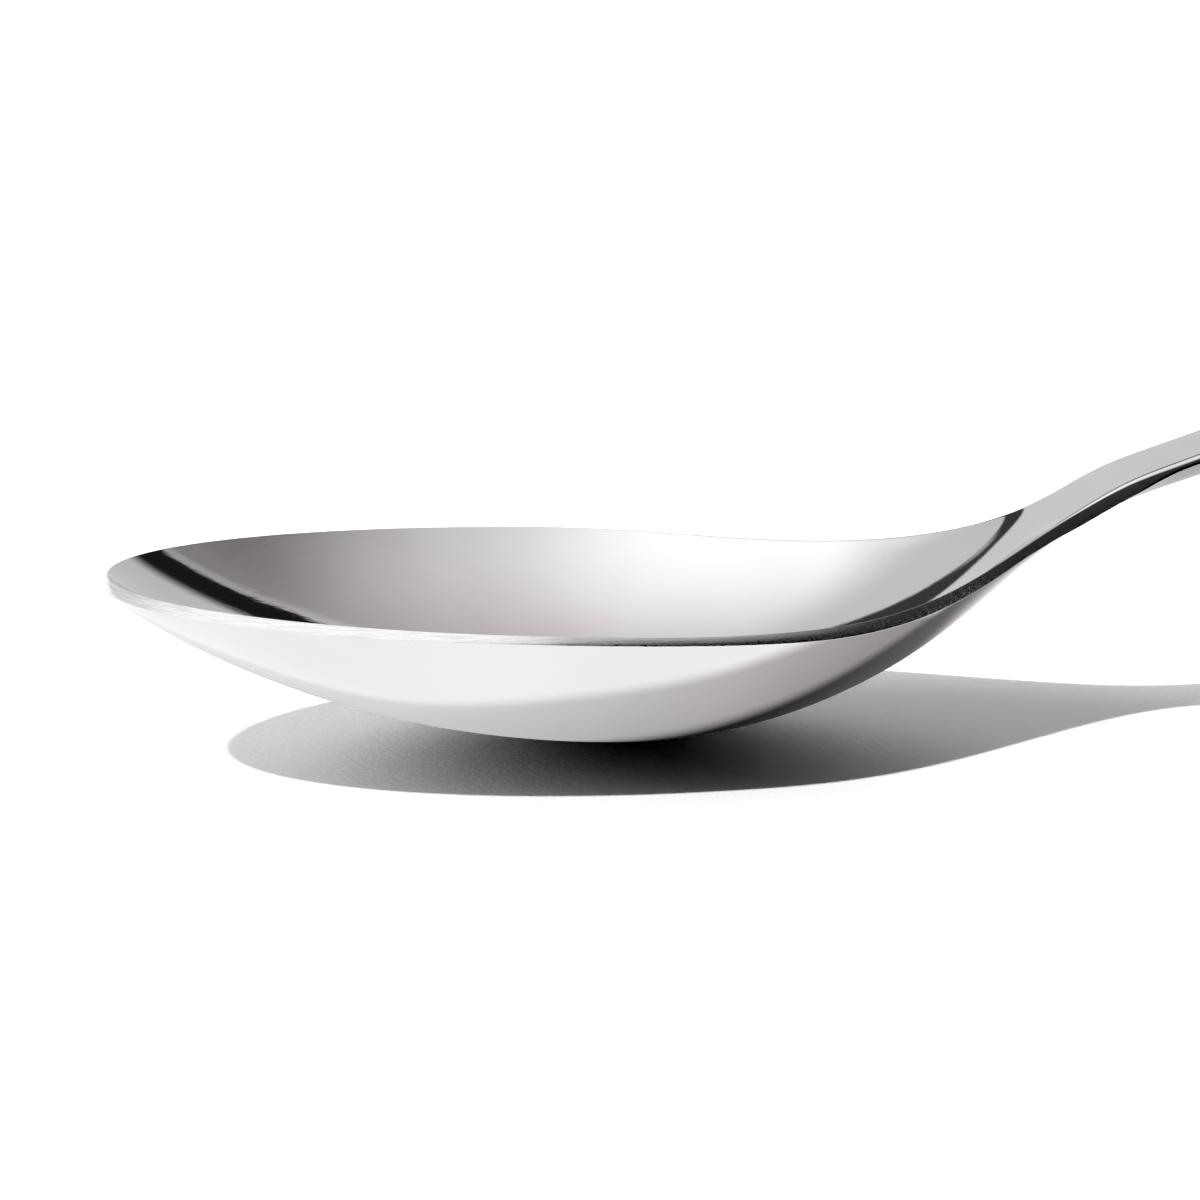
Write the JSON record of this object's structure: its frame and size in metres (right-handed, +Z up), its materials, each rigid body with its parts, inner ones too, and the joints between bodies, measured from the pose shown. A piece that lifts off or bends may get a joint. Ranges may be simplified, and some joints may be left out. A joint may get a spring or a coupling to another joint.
{
  "type": "serving spoon",
  "caption": "Serving spoon with an egg-shaped polished steel bowl, a rising neck and an arched hollow handle, for lifting and serving food.",
  "frame": {"origin": "centre of the small flat under the bowl, where the spoon touches the table", "axes": "+X from the bowl along the handle, +Z up from the table the spoon lies on, +Y across the bowl"},
  "size_m": [0.2903, 0.0616, 0.0388],
  "materials": {
    "polished_steel": "polished, with fine polishing lines and a ground rim edge",
    "collar_steel": "polished",
    "handle_steel": "satin polished along the handle",
    "pin_steel": "drawn wire, plain",
    "handle_resin": "set casting resin, matt"
  },
  "bodies": {
    "root": {"spoon_head": "polished_steel", "neck_collar": "collar_steel", "handle_upper_shell": "handle_steel", "handle_lower_shell": "handle_steel", "handle_core": "handle_resin", "tang_pin_front": "pin_steel", "tang_pin_rear": "pin_steel"}
  },
  "joints": []
}
